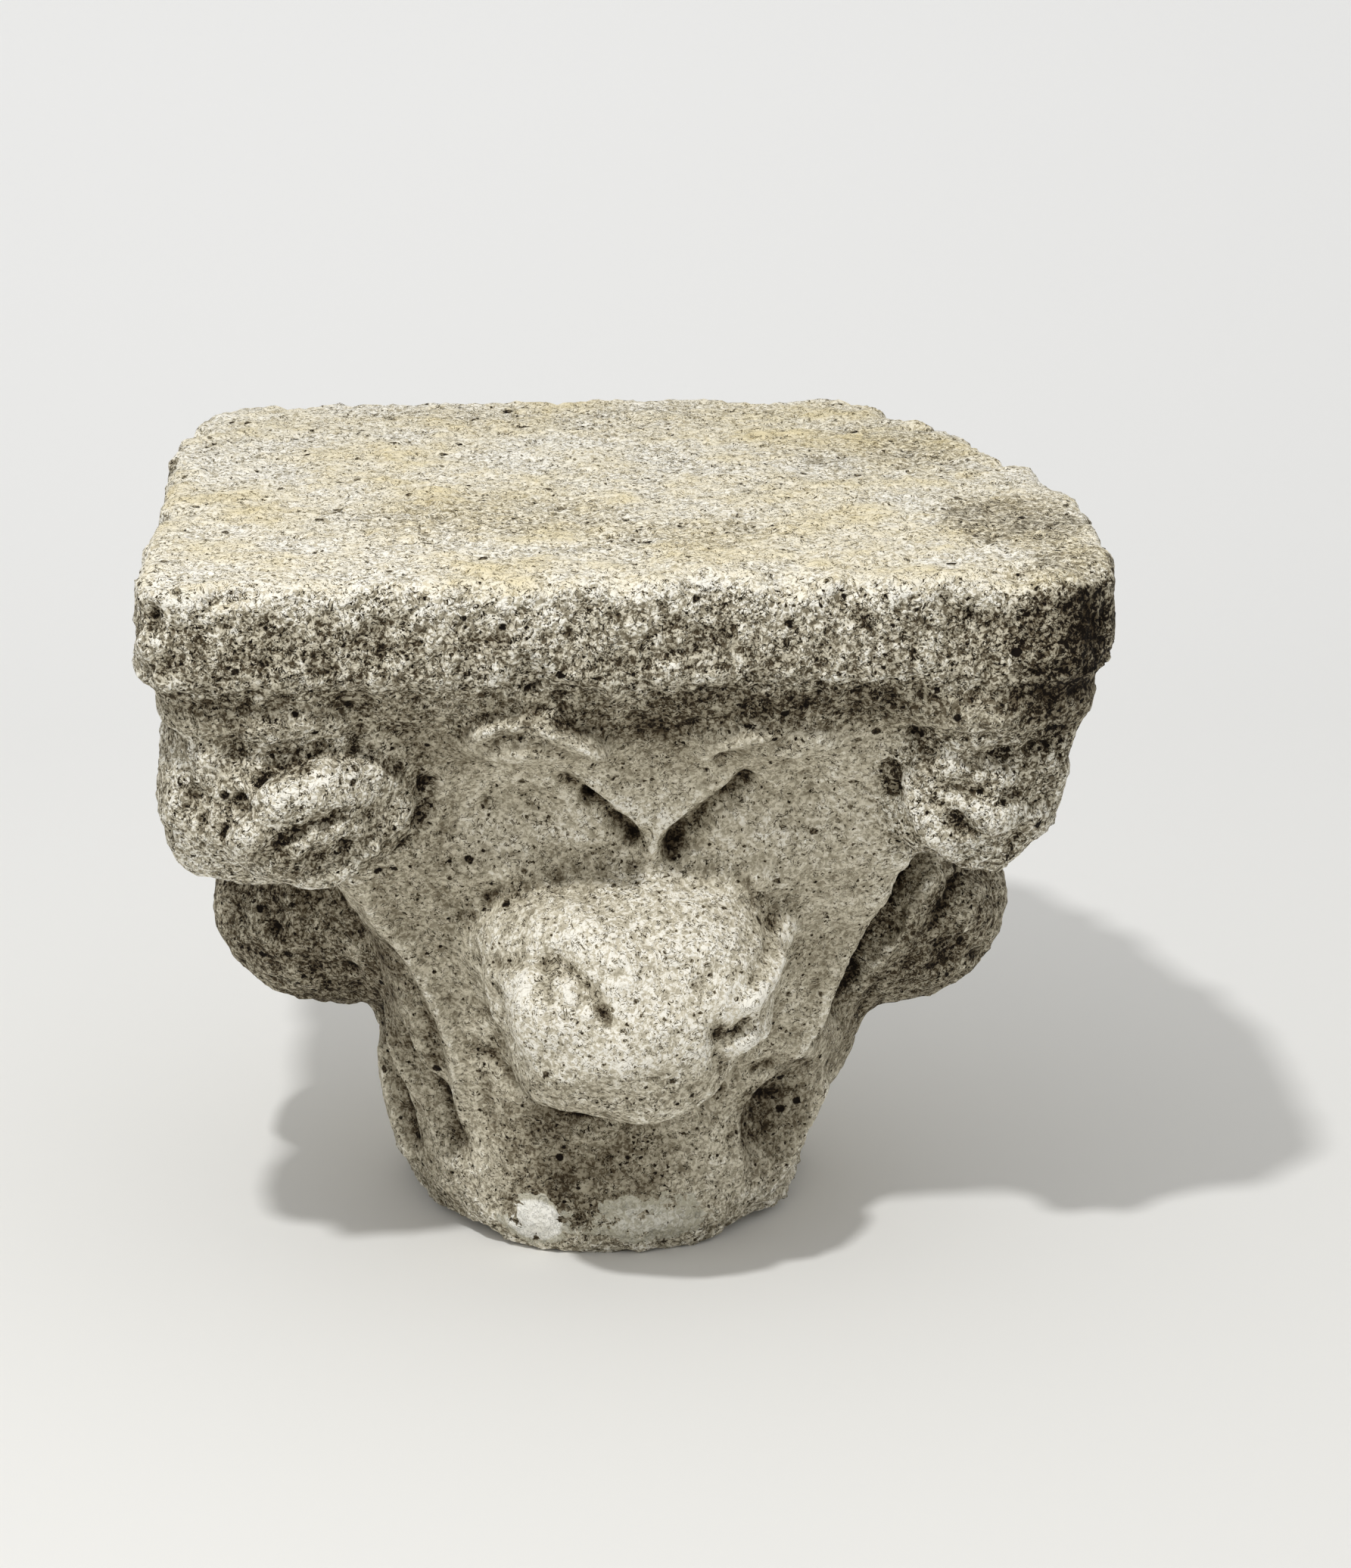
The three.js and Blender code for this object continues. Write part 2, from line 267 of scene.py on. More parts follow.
FRONT_TIP = [
    ("front", 2.1, -10.0, [(-34, 145), (-28, 147), (-22, 146), (-15, 141), (-9, 134), (-4, 123)]),
    ("front", 2.4, -3.0, [(-56, 134), (-49, 140), (-40, 144), (-32, 146)]),
    ("front", 7.0, 4.5, [(-55, 124), (-52, 144), (-38, 157), (-16, 158), (-3, 148), (3, 134)]),
    ("front", 4.5, 3.0, [(-44, 134), (-32, 142), (-20, 138), (-14, 128)]),
    ("front", 3.0, -3.5, [(-48, 136), (-47, 120), (-42, 104)]),
    ("front", 5.0, 3.0, [(-36, 138), (-38, 122), (-30, 106), (-16, 100)]),
    ("front", 2.0, -5.5, [(-25, 144), (-27, 138), (-28, 132)]),
    ("front", 2.0, -5.0, [(-14, 138), (-18, 130)]),
    ("front", 2.0, -4.5, [(-52, 94), (-44, 82), (-32, 72), (-18, 65), (-4, 63)]),
    ("front", 1.8, -5.0, [(10, 66), (24, 66), (36, 70), (46, 72)]),
    ("front", 3.0, 3.0, [(-46, 92), (-34, 80), (-18, 72), (0, 70)]),
    ("front", 4.0, 5.0, [(68, 153), (64, 142), (56, 133), (45, 127)]),
    ("front", 2.0, -4.0, [(61, 154), (58, 145), (50, 137), (41, 131)]),
    ("front", 3.0, -7.0, [(34, 124), (40, 117), (52, 120)]),
    ("front", 2.6, -5.0, [(37, 121), (37, 108), (40, 98)]),
    ("front", 4.0, 4.0, [(44, 112), (54, 112), (60, 104)]),
    ("front", 2.2, -4.0, [(26, 137), (32, 141), (36, 147)]),
    ("front", 2.4, -4.0, [(22, 84), (34, 85), (44, 90)]),
    ("front", 2.0, -2.5, [(6, 104), (16, 103)]),
]
RIGHT_SIDE = [
    ("front", 2.6, 5.0, [(118, 182), (108, 162), (97, 142), (88, 122), (80, 98), (74, 78)]),
    ("front", 3.0, -5.0, [(126, 162), (110, 134), (97, 108), (87, 84)]),
    ("front", 2.6, 5.0, [(138, 156), (120, 130), (106, 103), (95, 80)]),
    ("front", 3.0, -5.0, [(146, 150), (131, 124), (119, 100)]),
    ("front", 2.4, 4.0, [(154, 142), (145, 124), (137, 102)]),
    ("right", 3.0, -4.0, [(-46, 102), (-28, 104), (-10, 98)]),
    ("front", 2.4, -4.0, [(52, 78), (62, 79), (74, 74), (84, 62)]),
    ("front", 2.0, -4.0, [(44, 40), (48, 54), (54, 70)]),
    ("front", 3.0, 4.0, [(90, 60), (86, 46), (78, 32), (68, 18)]),
    ("front", 1.6, -2.5, [(54, 60), (66, 56), (80, 60)]),
]
LEFT_SIDE = [
    ("front", 3.0, 4.0, [(-104, 172), (-92, 150), (-80, 128), (-70, 106), (-65, 84), (-63, 58), (-62, 34)]),
    ("front", 5.0, -5.0, [(-96, 140), (-86, 122), (-76, 100), (-70, 76), (-68, 50)]),
    ("left", 3.0, 5.0, [(-56, 130), (-48, 110), (-46, 90), (-52, 66), (-56, 40)]),
    ("left", 4.0, -7.0, [(-66, 96), (-64, 76), (-66, 52), (-68, 34)]),
    ("left", 4.0, -6.0, [(-40, 98), (-38, 76), (-42, 50), (-46, 28)]),
    ("left", 3.0, 4.0, [(-28, 92), (-28, 66), (-34, 40), (-42, 16)]),
    ("front", 3.0, -3.0, [(-58, 98), (-52, 76), (-50, 50)]),
]

# The back and the far parts of the sides are cut like the front, but more plainly.
FAR_SIDES = [
    ("back", 4.0, -6.0, [(-26, 216), (-17, 204), (-7, 194), (-1, 184)]),
    ("back", 5.0, -5.5, [(36, 212), (26, 204), (16, 194), (10, 182)]),
    ("back", 2.6, 4.0, [(-66, 232), (-48, 240), (-30, 236), (-14, 228)]),
    ("back", 2.6, 4.0, [(20, 226), (38, 236), (56, 238), (72, 230)]),
    ("back", 2.4, -5.0, [(-152, 194), (-146, 212), (-130, 225), (-110, 224), (-98, 210)]),
    ("back", 3.0, -4.0, [(-138, 192), (-126, 204), (-110, 204)]),
    ("back", 2.4, -5.0, [(82, 206), (90, 219), (106, 224), (122, 216), (128, 200)]),
    ("back", 3.0, -4.0, [(94, 200), (106, 208), (116, 202)]),
    ("back", 4.5, -4.0, [(-46, 84), (-30, 72), (-10, 66), (12, 68)]),
    ("back", 3.0, -4.5, [(-36, 136), (-26, 146), (-10, 148), (4, 140)]),
    ("left", 4.5, -6.0, [(-26, 212), (-16, 202), (-8, 192), (-5, 182)]),
    ("left", 4.0, -5.0, [(22, 214), (15, 204), (8, 194)]),
    ("left", 4.5, -3.5, [(-36, 82), (-18, 70), (4, 68), (22, 76)]),
    ("left", 3.0, -4.5, [(34, 134), (24, 146), (8, 150), (-6, 142)]),
    ("right", 4.0, -5.5, [(-20, 214), (-11, 202), (-4, 190), (-1, 180)]),
    ("right", 5.0, -5.0, [(30, 210), (20, 200), (11, 190)]),
    ("right", 4.5, -3.5, [(-20, 72), (4, 68), (24, 74), (38, 86)]),
    ("right", 3.0, -4.5, [(-20, 148), (-4, 153), (12, 146), (20, 134)]),
]

carving = Carving(block.data)
ALL_STROKES = SCROLL_LEFT + SCROLL_RIGHT + LEAVES + FRONT_TIP + RIGHT_SIDE + LEFT_SIDE + FAR_SIDES
for face, width, height, stops in ALL_STROKES:
    carving.ridge(face, stops, width, height)
# Broader rises and hollows: their centre, their size along each axis, and their height or depth.
SWELLINGS = [
    # the worn mass over the front left scroll, and pits in its outer face
    ((-154, -150, 230), (14, 24, 14), 4.0), ((-132, -160, 238), (12, 18, 8), 5.0),
    ((-161, -150, 222), (4, 20, 6), -6.0), ((-148, -156, 238), (5, 20, 5), -5.0),
    ((-166, -130, 184), (20, 40, 14), 3.0),
    ((-108, -158, 240), (12, 18, 8), 3.5), ((-92, -152, 236), (10, 18, 7), 3.0),
    ((-160, -140, 214), (9, 24, 10), -4.0), ((-156, -136, 196), (10, 24, 10), 3.0),
    # the eaten front right scroll, running up into the abacus
    ((128, -156, 213), (10, 24, 8), -7.0), ((143, -152, 228), (11, 24, 7), -6.5),
    ((146, -148, 190), (9, 24, 5), -6.0), ((112, -148, 236), (9, 20, 6), -5.0),
    ((140, -150, 246), (52, 40, 22), 13.0), ((180, -130, 242), (26, 60, 24), 12.0),
    ((-140, -140, 246), (56, 50, 16), 9.0), ((-176, -120, 244), (22, 64, 24), 9.0),
    ((-130, 136, 248), (60, 50, 18), 9.0), ((112, 116, 246), (50, 50, 18), 8.0),
    ((-44, -124, 172), (34, 26, 12), 5.0), ((52, -122, 168), (28, 26, 12), 5.0),
    ((166, -140, 226), (12, 24, 20), 4.0), ((160, -142, 206), (10, 20, 8), -4.0),
    # the front leaf tip: its coil's eye, its full lower edge, and the breaks on its right
    ((-30, -152, 128), (20, 26, 20), 3.5), ((-26, -120, 92), (30, 50, 20), 9.0),
    ((14, -130, 88), (36, 40, 18), 8.0), ((52, -130, 100), (16, 26, 12), -6.0),
    ((62, -120, 128), (12, 26, 12), -5.0), ((10, -160, 140), (30, 20, 20), -2.0),
    # the pocket low on the right, and the hollow beside the neck
    ((66, -74, 50), (19, 24, 26), -13.0), ((90, -30, 26), (24, 60, 40), -4.0),
    ((-4, -95, 44), (8, 20, 10), -3.0), ((-20, -92, 40), (18, 16, 18), -3.0),
    ((82, -72, 88), (7, 16, 8), -5.0), ((96, -30, 62), (18, 40, 16), -5.0),
    ((-92, -20, 84), (16, 40, 10), -7.0),
    # the side leaf tips, eaten away in hollows
    ((-150, -40, 140), (26, 24, 14), -6.0), ((-160, 10, 112), (24, 26, 18), -5.0),
    ((-124, -52, 108), (18, 20, 12), -7.0), ((-138, -46, 126), (10, 20, 7), -6.0),
    ((-130, -44, 92), (16, 24, 10), 4.0), ((-148, 30, 146), (20, 24, 16), 5.0),
    ((160, -34, 142), (20, 22, 14), -6.0), ((168, 4, 118), (20, 26, 16), -5.0),
    ((146, -42, 112), (16, 20, 9), -5.0), ((128, -44, 90), (18, 24, 10), -5.0),
    ((150, 34, 100), (22, 24, 14), -5.0), ((120, -40, 126), (14, 20, 20), 5.0),
    ((20, 160, 140), (26, 22, 14), -5.0), ((-18, 156, 108), (22, 24, 14), -5.0),
    ((30, 150, 104), (16, 24, 12), 4.0),
    # the foot's worn arris
    ((-86, -24, 4), (30, 70, 38), -8.0), ((88, -20, 4), (34, 70, 50), -10.0),
    ((-62, -62, 2), (30, 30, 26), -6.0),
    ((62, -66, 2), (34, 34, 30), -7.0), ((0, 90, 2), (90, 30, 24), -4.0),
    # mortar stuck to the foot
    ((-33, -88, 16), (12, 14, 9), 2.5), ((12, -92, 18), (24, 14, 9), 2.0),
]
for centre, size, height in SWELLINGS:
    carving.lump(centre, size, height)
# Single deep pits in the front, each a stroke as short as it is wide: across and up.
PIT_WIDTH = 2.2
PIT_DEPTH = 6.0
PITS = [
    (-15, 175), (-6, 174), (5, 176), (-22, 169), (-13, 166), (54, 195), (46, 169), (79, 112), (-7, 95),
    (6, 236), (23, 231), (17, 238), (33, 243), (53, 247), (87, 250), (101, 249), (69, 262), (101, 258),
    (19, 181), (24, 187), (29, 192), (34, 197), (39, 202), (44, 207), (-12, 206), (-5, 199), (1, 193),
    (-72, 246), (-60, 250), (-98, 250), (29, 167), (-46, 196), (76, 214),
]
for across, up in PITS:
    carving.ridge("front", [(across - 1.5, up), (across + 1.5, up)], PIT_WIDTH, -PIT_DEPTH)
carving.work_in(block.data)
remesh(block, FINE_VOXEL)
smooth_without_shrinking(block.data, STROKE_SMOOTHING)


def hollowness(mesh, rounds):
    """How far each vertex lies below the face around it, in millimetres."""
    held = places(mesh)
    return ((spread(held, edges(mesh), rounds, 0.9) - held) * normals(mesh)).sum(1)


# Chips knocked off the arrises, mostly the abacus's: scattered over whatever stands out.
CHIPS = 150
CHIP_SEED = 7
chance = np.random.default_rng(CHIP_SEED)
standing = -hollowness(block.data, 14)
carving = Carving(block.data)
likely = ease(standing, 0.6, 2.0) * (0.25 + 0.75 * ease(carving.points[:, 2], 240, 262))
likely = likely * ease(carving.points[:, 2], 14, 30)
struck = chance.choice(len(likely), CHIPS, replace=False, p=likely / likely.sum())
for spot in carving.points[struck]:
    breadth = chance.uniform(5, 17)
    shape = breadth * chance.uniform(0.5, 1.2, 3)
    carving.lump(spot, shape, -breadth * chance.uniform(0.12, 0.30))
carving.work_in(block.data)

# ---- The weathered skin ----
# Rain and frost have eaten the soft parts out of the limestone: it is lumpy and pitted, most of all on the
# abacus and the scrolls. The leaves' faces, less exposed, have kept more of the carver's finish.
points = places(block.data)
facing = normals(block.data)


def inside(centre, size, soft=0.25):
    """How far each point is inside an egg shape, fading over its edge."""
    reach = np.linalg.norm((points - np.array(centre)) / np.array(size), axis=1)
    return 1.0 - ease(reach, 1.0 - soft, 1.0 + soft)


z = points[:, 2]
abacus = ease(z, 252, 262)
moulding = ease(z, 232, 246)
top = ease(facing[:, 2], 0.5, 0.85) * ease(z, 285, 294)
foot = 1.0 - ease(z, 6, 34)
leaf_tip = inside((6, -122, 124), (62, 54, 54), 0.12)
scroll_left = inside((-128, -112, 211), (60, 60, 46), 0.15)
scroll_right = inside((140, -112, 214), (44, 60, 50), 0.15)
scroll_back = inside((-124, 114, 212), (56, 56, 44)) + inside((106, 98, 211), (48, 48, 42))
side_tips = inside((-124, 0, 124), (58, 60, 52)) + inside((124, 0, 122), (58, 60, 52))
SOUND_FACE = 0.30
rough = SOUND_FACE + 0.70 * abacus * (1.0 - 0.85 * top)
for share, part in ((0.55, scroll_left), (0.75, scroll_right), (0.5, scroll_back), (0.35, side_tips),
                    (0.4, foot), (0.1, leaf_tip), (0.35, moulding)):
    rough = rough + share * part
rough = np.clip(rough, 0.0, 1.0)


def put_values(mesh, name, values):
    """Stores a share from 0 to 1 at each vertex, for the stone's patterns to read by name."""
    held = mesh.attributes.get(name) or mesh.attributes.new(name, "FLOAT", "POINT")
    held.data.foreach_set("value", np.clip(values, 0.0, 1.0).astype(np.float32))


put_values(block.data, "rough", rough)


def node(tree, kind, links=(), **settings):
    """Adds a node with its settings. Links maps an input's name or number to a node, a socket or a value."""
    made = tree.nodes.new(kind)
    for name, value in settings.items():
        setattr(made, name, value)
    for name, value in dict(links).items():
        if isinstance(value, bpy.types.Node):
            value = value.outputs[0]
        if isinstance(value, bpy.types.NodeSocket):
            tree.links.new(value, made.inputs[name])
        else:
            made.inputs[name].default_value = value
    return made


def weathering_tree():
    """Pushes the skin in and out by lumps, grain and pits, as deep as each place is rough."""
    tree = bpy.data.node_groups.new("weathering", "GeometryNodeTree")
    face = tree.interface
    face.new_socket("Geometry", in_out="INPUT", socket_type="NodeSocketGeometry")
    for name in ("Lump size", "Lump depth", "Grain size", "Grain depth", "Pit size", "Pit depth"):
        face.new_socket(name, in_out="INPUT", socket_type="NodeSocketFloat")
    face.new_socket("Stone", in_out="INPUT", socket_type="NodeSocketMaterial")
    face.new_socket("Geometry", in_out="OUTPUT", socket_type="NodeSocketGeometry")
    given = node(tree, "NodeGroupInput").outputs
    place = node(tree, "GeometryNodeInputPosition")
    outward = node(tree, "GeometryNodeInputNormal")
    worn = node(tree, "GeometryNodeInputNamedAttribute", {"Name": "rough"}, data_type="FLOAT")
    total = 0.0
    for name, sharp in (("Lump", 0.55), ("Grain", 0.65)):
        scale = node(tree, "ShaderNodeMath", {0: 1.0, 1: given[name + " size"]}, operation="DIVIDE")
        noise = node(tree, "ShaderNodeTexNoise",
                     {"Vector": place, "Scale": scale, "Detail": 3.0, "Roughness": sharp})
        waves = node(tree, "ShaderNodeMapRange", {"Value": noise, "From Min": 0.25, "From Max": 0.75,
                                                  "To Min": -1.0, "To Max": 1.0}, clamp=False)
        total = node(tree, "ShaderNodeMath", {0: waves, 1: given[name + " depth"], 2: total},
                     operation="MULTIPLY_ADD")
    scale = node(tree, "ShaderNodeMath", {0: 1.0, 1: given["Pit size"]}, operation="DIVIDE")
    cells = node(tree, "ShaderNodeTexVoronoi", {"Vector": place, "Scale": scale})
    pits = node(tree, "ShaderNodeMapRange",
                {"Value": cells, "From Min": 0.12, "From Max": 0.34, "To Min": -1.0, "To Max": 0.0})
    where = node(tree, "ShaderNodeTexNoise", {"Vector": place, "Scale": 45.0, "Detail": 2.0})
    some = node(tree, "ShaderNodeMapRange", {"Value": where, "From Min": 0.48, "From Max": 0.6})
    pitting = node(tree, "ShaderNodeMath", {0: pits, 1: some}, operation="MULTIPLY")
    total = node(tree, "ShaderNodeMath", {0: pitting, 1: given["Pit depth"], 2: total},
                 operation="MULTIPLY_ADD")
    total = node(tree, "ShaderNodeMath", {0: total, 1: worn}, operation="MULTIPLY")
    moved = node(tree, "ShaderNodeVectorMath", {0: outward, "Scale": total}, operation="SCALE")
    shifted = node(tree, "GeometryNodeSetPosition", {"Geometry": given["Geometry"], "Offset": moved})
    real = node(tree, "GeometryNodeRealizeInstances", {"Geometry": shifted})
    coated = node(tree, "GeometryNodeSetMaterial", {"Geometry": real, "Material": given["Stone"]})
    node(tree, "NodeGroupOutput", {0: coated})
    return tree


# ---- The limestone ----
# A soft buff limestone, a packed sand of shell and grain 1 to 2 mm across. One scale of tones runs from the
# soot in its pores, through grey-buff crust, to clean cream grain. Each region of the stone has its place on
# that scale, set by its stains and wear together with painted shade in its hollows and under its overhangs
# and painted highlight on its ridges, and the grain, the pores and the lichen move it up and down from there.


def linear(colour):
    """A colour written as sRGB hex, as the linear colour that the shader works in."""
    parts = [int(colour[i:i + 2], 16) / 255 for i in (1, 3, 5)]
    return tuple(p / 12.92 if p <= 0.04045 else ((p + 0.055) / 1.055) ** 2.4 for p in parts) + (1.0,)


TONES = ["#150e07", "#4a3f2e", "#837a66", "#b0a893", "#d8d0bb", "#fbf7eb"]


def limestone_material():
    material = bpy.data.materials.new("weathered limestone")
    material.use_nodes = True
    tree = material.node_tree
    tree.nodes.clear()
    place = node(tree, "ShaderNodeTexCoord").outputs["Object"]
    crust, tone, ochre, mortar = [node(tree, "ShaderNodeAttribute", attribute_name=name).outputs["Fac"]
                                  for name in ("rough", "tone", "ochre", "mortar")]

    def pattern(millimetres, low, high, sharp=0.6, detail=3.0, twist=0.0, clamp=False):
        """A cloudy pattern of one size of spot, centred on nothing and reaching about one either way."""
        noise = node(tree, "ShaderNodeTexNoise", {"Vector": place, "Scale": 1.0 / (millimetres * MM),
                                                  "Detail": detail, "Roughness": sharp, "Distortion": twist})
        return node(tree, "ShaderNodeMapRange", {"Value": noise, "From Min": low, "From Max": high,
                                                 "To Min": -1.0, "To Max": 1.0}, clamp=clamp)

    grains = pattern(1.9, 0.42, 0.57, sharp=0.7, detail=2.0, twist=0.6, clamp=True)
    clots = pattern(5.0, 0.34, 0.66, sharp=0.65, twist=0.5)
    patches = pattern(15.0, 0.34, 0.66)
    clouds = pattern(48.0, 0.34, 0.66, detail=4.0)

    # Thin crooked hollows between the grains, where the face is broken.
    seam = node(tree, "ShaderNodeMath", {0: pattern(3.6, 0.4, 0.6, sharp=0.65, detail=2.0, twist=1.2)},
                operation="ABSOLUTE")
    seam = node(tree, "ShaderNodeMapRange",
                {"Value": seam, "From Min": 0.05, "From Max": 0.24, "To Min": 1.0, "To Max": 0.0})
    broken = node(tree, "ShaderNodeTexNoise",
                  {"Vector": place, "Scale": 1.0 / (3.0 * MM), "Detail": 2.0, "Roughness": 0.6})
    broken = node(tree, "ShaderNodeMath", {0: patches, 1: 0.05, 2: broken}, operation="MULTIPLY_ADD")
    broken = node(tree, "ShaderNodeMath", {0: crust, 1: 0.11, 2: broken}, operation="MULTIPLY_ADD")
    broken = node(tree, "ShaderNodeMapRange", {"Value": broken, "From Min": 0.50, "From Max": 0.57})
    seams = node(tree, "ShaderNodeMath", {0: seam, 1: broken}, operation="MULTIPLY")

    # Pores where a shell or a grain has gone: some cells out of many, each with its own size of hole.
    drift = node(tree, "ShaderNodeTexNoise", {"Vector": place, "Scale": 1.0 / (2.0 * MM)}).outputs["Color"]
    drift = node(tree, "ShaderNodeVectorMath", {0: drift, "Scale": 2.5 * MM}, operation="SCALE")
    drift = node(tree, "ShaderNodeVectorMath", {0: place, 1: drift})
    pores = []
    for millimetres, fewest, widest in ((7.0, 0.72, 0.28), (2.8, 0.50, 0.32)):
        scale = 1.0 / (millimetres * MM)
        cells = node(tree, "ShaderNodeTexVoronoi", {"Vector": drift, "Scale": scale}).outputs
        some = node(tree, "ShaderNodeSeparateColor", {0: cells["Color"]})
        some = node(tree, "ShaderNodeMapRange",
                    {"Value": some, "From Min": fewest, "From Max": 1.0, "To Max": widest})
        some = node(tree, "ShaderNodeMath", {0: some, 1: cells["Distance"]}, operation="SUBTRACT")
        pores.append(node(tree, "ShaderNodeMapRange", {"Value": some, "From Min": -0.03, "From Max": 0.06}))
    holes, specks = pores

    # How far each moves the tone where the stone is sound, and where it is crusted.
    level = tone
    for marks, sound, crusted in ((clouds, 0.05, 0.08), (patches, 0.05, 0.12), (clots, 0.07, 0.15),
                                  (grains, 0.07, 0.25), (seams, -0.50, -0.90), (holes, -0.45, -0.75),
                                  (specks, -0.48, -0.60)):
        reach = node(tree, "ShaderNodeMath", {0: crust, 1: crusted - sound, 2: sound},
                     operation="MULTIPLY_ADD")
        level = node(tree, "ShaderNodeMath", {0: marks, 1: reach, 2: level}, operation="MULTIPLY_ADD")
    ramp = node(tree, "ShaderNodeValToRGB", {0: level})
    for number, colour in enumerate(TONES):
        share = number / (len(TONES) - 1)
        if 0 < share < 1:
            stop = ramp.color_ramp.elements.new(share)
        else:
            stop = ramp.color_ramp.elements[-1 if share else 0]
        stop.position = share
        stop.color = linear(colour)

    # Ochre rain stain on the upper bed, deeper in some places than in others.
    stain = node(tree, "ShaderNodeMath", {0: patches, 1: 0.5, 2: clouds}, operation="MULTIPLY_ADD")
    stain = node(tree, "ShaderNodeMapRange", {"Value": stain, "From Min": -0.8, "From Max": 1.3})
    stain = node(tree, "ShaderNodeMath", {0: stain, 1: ochre}, operation="MULTIPLY")
    stained = node(tree, "ShaderNodeMix", {0: stain, 6: ramp, 7: linear("#eee4c6")},
                   data_type="RGBA", blend_type="MULTIPLY").outputs[2]

    # Lime mortar left on the foot, ragged at its edge and gritty.
    ragged = node(tree, "ShaderNodeMath", {0: clots, 1: 0.55, 2: 1.0}, operation="MULTIPLY_ADD")
    ragged = node(tree, "ShaderNodeMath", {0: patches, 1: 0.70, 2: ragged}, operation="MULTIPLY_ADD")
    ragged = node(tree, "ShaderNodeMath", {0: ragged, 1: mortar}, operation="MULTIPLY")
    lime = node(tree, "ShaderNodeMapRange",
                {"Value": ragged, "From Min": 0.40, "From Max": 0.44, "To Max": 0.95})
    limy = node(tree, "ShaderNodeMapRange", {"Value": mortar, "From Min": 0.56, "From Max": 0.70})
    limy = node(tree, "ShaderNodeMath", {0: grains, 1: 0.22, 2: limy}, operation="MULTIPLY_ADD")
    limy = node(tree, "ShaderNodeMix", {0: limy, 6: linear("#bdb8a4"), 7: linear("#fffdf4")},
                data_type="RGBA").outputs[2]
    face = node(tree, "ShaderNodeMix", {0: lime, 6: stained, 7: limy}, data_type="RGBA").outputs[2]

    height = 0.0
    for marks, share in ((grains, 0.10), (clots, 0.40), (patches, 0.80), (seams, -0.40), (holes, -1.2)):
        height = node(tree, "ShaderNodeMath", {0: marks, 1: share, 2: height}, operation="MULTIPLY_ADD")
    worn = node(tree, "ShaderNodeMath", {0: crust, 1: 0.6, 2: 0.4}, operation="MULTIPLY_ADD")
    height = node(tree, "ShaderNodeMath", {0: height, 1: worn}, operation="MULTIPLY")
    bump = node(tree, "ShaderNodeBump", {"Height": height, "Distance": 0.0010, "Strength": 1.0})
    # Broken grain scatters light every way, so the stone has hardly any gloss.
    shader = node(tree, "ShaderNodeBsdfPrincipled",
                  {"Base Color": face, "Roughness": 0.93, "Specular IOR Level": 0.15, "Normal": bump})
    node(tree, "ShaderNodeOutputMaterial", {"Surface": shader})
    return material


limestone = limestone_material()
tree = weathering_tree()
skin = block.modifiers.new("weathering", "NODES")
skin.node_group = tree
given = {
    "Lump size": 24 * MM, "Lump depth": 1.8 * MM, "Grain size": 7 * MM, "Grain depth": 1.9 * MM,
    "Pit size": 9 * MM, "Pit depth": 2.6 * MM, "Stone": limestone,
}
for item in tree.interface.items_tree:
    if item.in_out == "INPUT" and item.name in given:
        skin[item.identifier] = given[item.name]
applied(block)

# The stone is darkened where it is hollow, partly dirt and partly painted shade, the widest scale most of all
# standing in for the shade that gathers in hollows; its edges are rubbed pale.
points = places(block.data)
points[:, 2] = np.maximum(points[:, 2], 0.0)
put_places(block.data, points)
facing = normals(block.data)
small, middling, wide = [hollowness(block.data, rounds) for rounds in (2, 12, 70)]
CRUST_TONE = 0.635
tone = CRUST_TONE
for depth, start, end, amount in ((small, 0.05, 0.6, -0.14), (middling, 0.3, 2.2, -0.22),
                                  (wide, 1.5, 8.0, -0.14), (-middling, 0.3, 2.0, 0.10),
                                  (-small, 0.1, 0.5, 0.05)):
    tone = tone + amount * ease(depth, start, end)
# The upper bed is washed by the rain.
upward = ease(facing[:, 2], 0.25, 0.8) * ease(points[:, 2], 280, 292)
WASHED = 0.41
tone = tone + WASHED * upward
